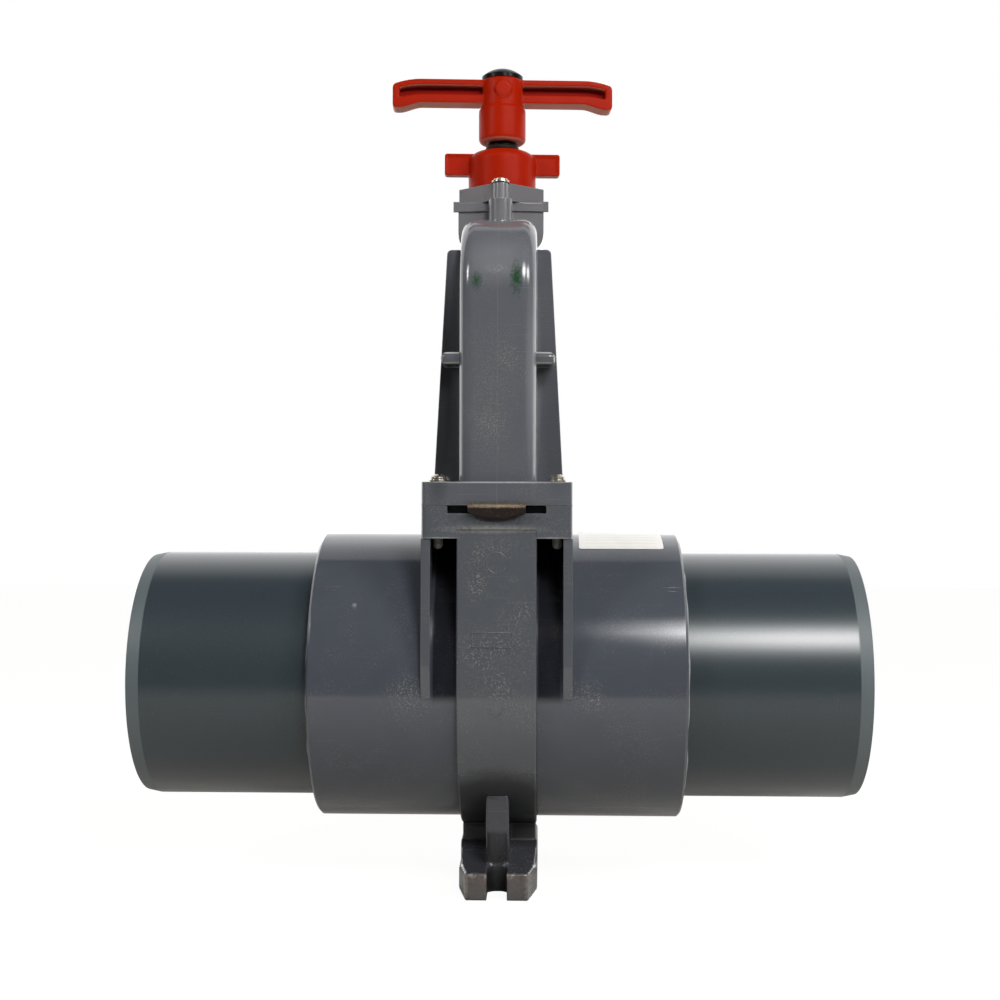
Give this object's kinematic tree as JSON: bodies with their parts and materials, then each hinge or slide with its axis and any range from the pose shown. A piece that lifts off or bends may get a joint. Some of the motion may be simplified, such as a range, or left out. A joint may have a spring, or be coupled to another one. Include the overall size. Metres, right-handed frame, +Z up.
{
  "type": "pipe slide gate valve",
  "caption": "Push-pull slide gate valve in grey plastic for a 160 mm pipe, with glued pipe stubs, a winged lock nut, a T handle and a slotted foot.",
  "frame": {"origin": "on the ground under the middle of the foot", "axes": "X runs along the pipe and +X is the outlet end, -Y is the front, +Z is up, the way the stem lifts"},
  "size_m": [0.462, 0.2036, 0.5387],
  "materials": {
    "body_pvc": "moulded grey plastic with a worn gloss",
    "pipe_pvc": "drawn dark grey pipe, satin",
    "red_plastic": "moulded red plastic with a soft gloss",
    "black_plastic": "black plastic, satin",
    "gate_pvc": "machined grey plastic sheet",
    "seal_rubber": "black rubber, dusty",
    "screw_steel": "dull stainless steel"
  },
  "bodies": {
    "valve": {"valve_body": "body_pvc", "mounting_foot": "body_pvc", "inlet_socket": "body_pvc", "outlet_socket": "body_pvc", "inlet_pipe": "pipe_pvc", "outlet_pipe": "pipe_pvc", "inlet_seat_seal": "seal_rubber", "outlet_seat_seal": "seal_rubber", "flange_gasket": "seal_rubber", "bonnet": "body_pvc", "gland_plate": "body_pvc", "stem_collet": "black_plastic", "gland_screw_front": "screw_steel", "gland_screw_back": "screw_steel", "flange_screw_1": "screw_steel", "flange_screw_2": "screw_steel", "flange_screw_3": "screw_steel", "flange_screw_4": "screw_steel", "flange_screw_5": "screw_steel", "flange_screw_6": "screw_steel", "flange_screw_7": "screw_steel", "flange_screw_8": "screw_steel"},
    "lock_nut": {"lock_nut": "red_plastic"},
    "gate": {"gate_plate": "gate_pvc", "gate_pin": "screw_steel", "stem": "black_plastic", "stem_bumper": "seal_rubber", "t_handle": "red_plastic", "handle_cap": "black_plastic"}
  },
  "joints": [
    {"name": "gate_lift", "type": "slide", "parent": "valve", "child": "gate", "axis": [0, 0, 1], "range_m": [0, 0.154]},
    {"name": "lock_nut_turn", "type": "hinge", "parent": "valve", "child": "lock_nut", "pos_m": [0, 0, 0.46], "axis": [0, 0, 1], "range_deg": [0, 90]}
  ]
}
